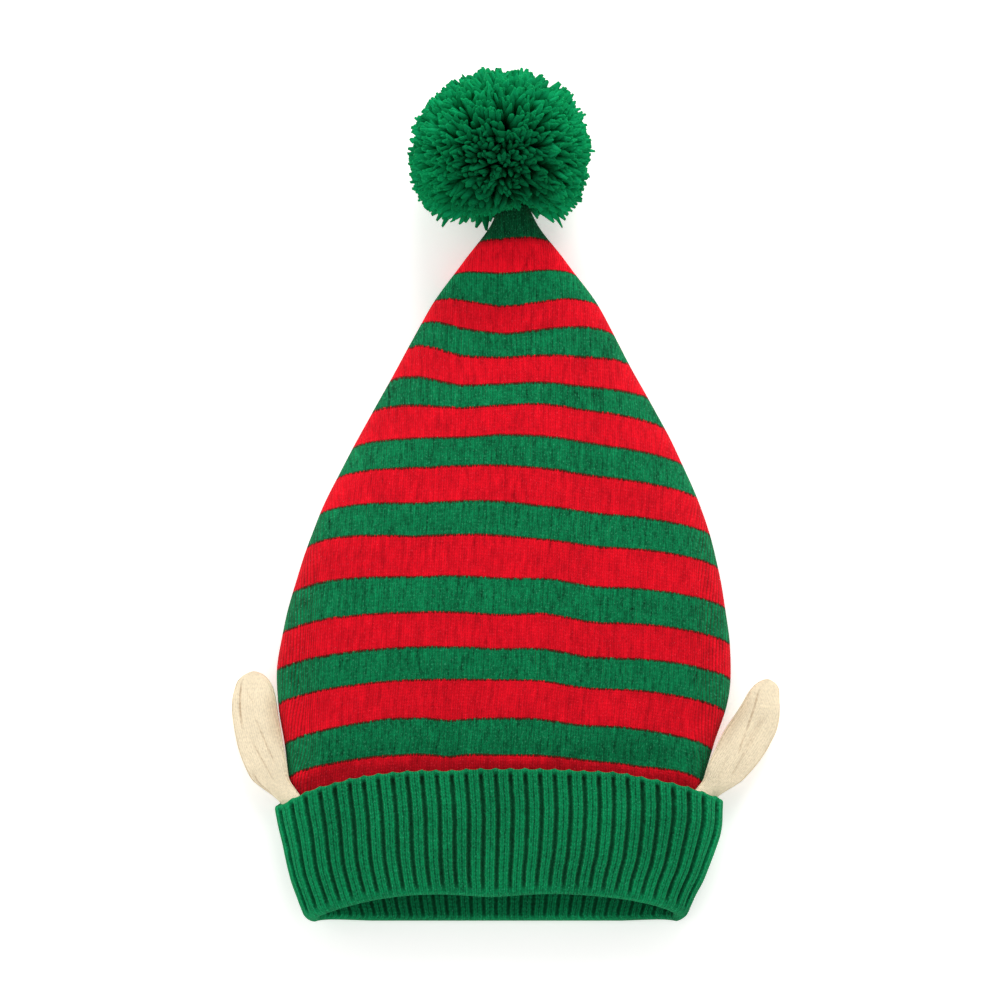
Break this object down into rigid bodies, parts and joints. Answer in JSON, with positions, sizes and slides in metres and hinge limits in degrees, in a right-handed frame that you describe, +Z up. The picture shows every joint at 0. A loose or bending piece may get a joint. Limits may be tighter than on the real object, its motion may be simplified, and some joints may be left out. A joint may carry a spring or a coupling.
{
  "type": "elf hat",
  "caption": "Knitted striped elf hat lying flat, with a folded rib cuff, padded leaf-shaped ears at the sides and a yarn pompom on its tapered tip.",
  "frame": {"origin": "middle of the hat's footprint, on the surface that it lies on", "axes": "+X to the right and +Y from the cuff towards the pompom, seen from above, +Z up through the hat's front"},
  "size_m": [0.267, 0.4134, 0.0785],
  "materials": {
    "crown_knit": "matt fine knit in red and green stripes",
    "cuff_rib": "matt chunky rib knit",
    "ear_knit": "matt plain knit",
    "pompom_yarn": "matt cut yarn"
  },
  "bodies": {
    "root": {"crown": "crown_knit", "cuff": "cuff_rib", "ear_left": "ear_knit", "ear_right": "ear_knit", "pompom": "pompom_yarn"}
  },
  "joints": []
}
